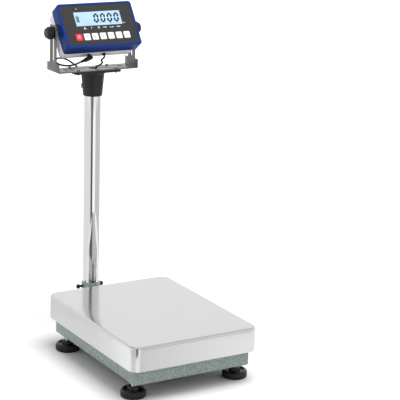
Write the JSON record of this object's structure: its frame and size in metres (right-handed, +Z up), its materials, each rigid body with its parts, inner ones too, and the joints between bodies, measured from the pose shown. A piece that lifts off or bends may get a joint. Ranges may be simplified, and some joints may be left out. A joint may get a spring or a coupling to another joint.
{
  "type": "platform bench scale",
  "caption": "Bench scale with a flat stainless pan on levelling feet and a rear column that carries a tilting indicator with a display and a row of keys.",
  "frame": {"origin": "middle of the footprint, on the floor that the feet stand on", "axes": "+Z up, +X to the right of a person who reads the display, +Y from that person towards the column"},
  "size_m": [0.3, 0.5259, 0.7434],
  "materials": {
    "satin_stainless": "satin, fairly glossy pressed stainless sheet",
    "polished_stainless": "mirror-polished stainless tube",
    "hammertone_paint": "grey-green hammertone enamel",
    "cell_aluminium": "clear anodised, milled",
    "zinc_steel": "bright zinc plate",
    "chromed_steel": "bright chrome plate",
    "black_oxide_steel": "black oxide, oiled",
    "black_powder_coat": "dark satin powder coat",
    "black_moulding": "fine-textured black moulding",
    "pad_rubber": "matte moulded rubber",
    "level_brass": "turned brass cup with a clear lens",
    "blue_moulding": "smooth blue moulding",
    "grey_moulding": "fine-textured pale grey moulding",
    "dark_membrane": "dark textured film overlay",
    "display_blue": "backlit pale blue display",
    "red_key": "red printed key",
    "white_key": "white printed key",
    "board_laminate": "green solder-masked laminate",
    "battery_wrap": "blue shrink wrap",
    "lead_jacket": "satin black jacket"
  },
  "bodies": {
    "base": {"lower_frame": "hammertone_paint", "load_cell": "cell_aluminium", "cell_shim_lower": "zinc_steel", "cell_bolt_lower_1": "zinc_steel", "cell_bolt_lower_2": "zinc_steel", "overload_stop_front_left": "zinc_steel", "overload_stop_front_right": "zinc_steel", "overload_stop_rear_left": "zinc_steel", "overload_stop_rear_right": "zinc_steel", "foot_locknut_front_left": "zinc_steel", "foot_locknut_front_right": "zinc_steel", "foot_locknut_rear_left": "zinc_steel", "foot_locknut_rear_right": "zinc_steel", "column_bracket": "hammertone_paint", "bracket_bolt_left": "zinc_steel", "bracket_bolt_right": "zinc_steel"},
    "platform": {"upper_frame": "hammertone_paint", "cell_shim_upper": "zinc_steel", "cell_bolt_upper_1": "zinc_steel", "cell_bolt_upper_2": "zinc_steel", "pan_pad_front_left": "pad_rubber", "pan_pad_front_right": "pad_rubber", "pan_pad_rear_left": "pad_rubber", "pan_pad_rear_right": "pad_rubber", "bubble_level": "level_brass"},
    "pan": {"pan": "satin_stainless"},
    "foot_front_left": {"foot_front_left": "black_moulding"},
    "foot_front_right": {"foot_front_right": "black_moulding"},
    "foot_rear_left": {"foot_rear_left": "black_moulding"},
    "foot_rear_right": {"foot_rear_right": "black_moulding"},
    "clamp_screw_left": {"clamp_screw_left": "black_oxide_steel"},
    "clamp_screw_right": {"clamp_screw_right": "black_oxide_steel"},
    "column": {"column_tube": "polished_stainless", "column_head": "black_moulding", "head_screw": "chromed_steel", "indicator_bracket": "black_powder_coat", "tray_screw_front_left": "chromed_steel", "tray_screw_front_right": "chromed_steel", "tray_screw_rear_left": "chromed_steel", "tray_screw_rear_right": "chromed_steel", "plugged_lead": "lead_jacket", "cell_lead": "lead_jacket"},
    "indicator": {"front_bezel": "blue_moulding", "rear_housing": "grey_moulding", "face_panel": "dark_membrane", "lcd_module": "display_blue", "circuit_board": "board_laminate", "battery": "battery_wrap", "lead_plug": "black_moulding", "lead_gland": "black_moulding", "charging_socket": "black_moulding"},
    "tilt_knob_left": {"tilt_knob_left": "black_moulding"},
    "tilt_knob_right": {"tilt_knob_right": "black_moulding"},
    "key_power": {"key_power": "red_key"},
    "key_print": {"key_print": "white_key"},
    "key_count": {"key_count": "white_key"},
    "key_mode": {"key_mode": "white_key"},
    "key_light": {"key_light": "white_key"},
    "key_tare": {"key_tare": "white_key"},
    "key_zero": {"key_zero": "white_key"}
  },
  "joints": [
    {"name": "platform_travel", "type": "slide", "parent": "base", "child": "platform", "axis": [0, 0, 1], "range_m": [-0.0009, 0], "stiffness_N_per_m": 740000, "springref_m": 0.00006, "deforming": ["load_cell"]},
    {"name": "pan_lift", "type": "slide", "parent": "platform", "child": "pan", "axis": [0, 0, 1], "range_m": [0, 0.06]},
    {"name": "foot_front_left_height", "type": "slide", "parent": "base", "child": "foot_front_left", "axis": [0, 0, 1], "range_m": [-0.01, 0.005]},
    {"name": "foot_front_right_height", "type": "slide", "parent": "base", "child": "foot_front_right", "axis": [0, 0, 1], "range_m": [-0.01, 0.005]},
    {"name": "foot_rear_left_height", "type": "slide", "parent": "base", "child": "foot_rear_left", "axis": [0, 0, 1], "range_m": [-0.01, 0.005]},
    {"name": "foot_rear_right_height", "type": "slide", "parent": "base", "child": "foot_rear_right", "axis": [0, 0, 1], "range_m": [-0.01, 0.005]},
    {"name": "clamp_screw_left_turn", "type": "hinge", "parent": "base", "child": "clamp_screw_left", "pos_m": [0, 0.21926, 0.094], "axis": [-1, 0, 0], "range_deg": [-180, 180]},
    {"name": "clamp_screw_right_turn", "type": "hinge", "parent": "base", "child": "clamp_screw_right", "pos_m": [0, 0.21926, 0.094], "axis": [1, 0, 0], "range_deg": [-180, 0]},
    {"name": "column_turn", "type": "hinge", "parent": "base", "child": "column", "pos_m": [0, 0.21926, 0.094], "axis": [0, 0, 1], "range_deg": [-175, 175]},
    {"name": "indicator_tilt", "type": "hinge", "parent": "column", "child": "indicator", "pos_m": [0, 0.21926, 0.682], "axis": [-1, 0, 0], "range_deg": [-33, 42], "deforming": ["plugged_lead", "cell_lead"]},
    {"name": "tilt_knob_left_turn", "type": "hinge", "parent": "indicator", "child": "tilt_knob_left", "pos_m": [0, 0.21926, 0.682], "axis": [-1, 0, 0], "range_deg": [-180, 180]},
    {"name": "tilt_knob_right_turn", "type": "hinge", "parent": "indicator", "child": "tilt_knob_right", "pos_m": [0, 0.21926, 0.682], "axis": [1, 0, 0], "range_deg": [-180, 180]},
    {"name": "key_power_press", "type": "slide", "parent": "indicator", "child": "key_power", "axis": [0, 0.8192, -0.5736], "range_m": [0, 0.0007], "stiffness_N_per_m": 3300},
    {"name": "key_print_press", "type": "slide", "parent": "indicator", "child": "key_print", "axis": [0, 0.8192, -0.5736], "range_m": [0, 0.0007], "stiffness_N_per_m": 3300},
    {"name": "key_count_press", "type": "slide", "parent": "indicator", "child": "key_count", "axis": [0, 0.8192, -0.5736], "range_m": [0, 0.0007], "stiffness_N_per_m": 3300},
    {"name": "key_mode_press", "type": "slide", "parent": "indicator", "child": "key_mode", "axis": [0, 0.8192, -0.5736], "range_m": [0, 0.0007], "stiffness_N_per_m": 3300},
    {"name": "key_light_press", "type": "slide", "parent": "indicator", "child": "key_light", "axis": [0, 0.8192, -0.5736], "range_m": [0, 0.0007], "stiffness_N_per_m": 3300},
    {"name": "key_tare_press", "type": "slide", "parent": "indicator", "child": "key_tare", "axis": [0, 0.8192, -0.5736], "range_m": [0, 0.0007], "stiffness_N_per_m": 3300},
    {"name": "key_zero_press", "type": "slide", "parent": "indicator", "child": "key_zero", "axis": [0, 0.8192, -0.5736], "range_m": [0, 0.0007], "stiffness_N_per_m": 3300}
  ]
}
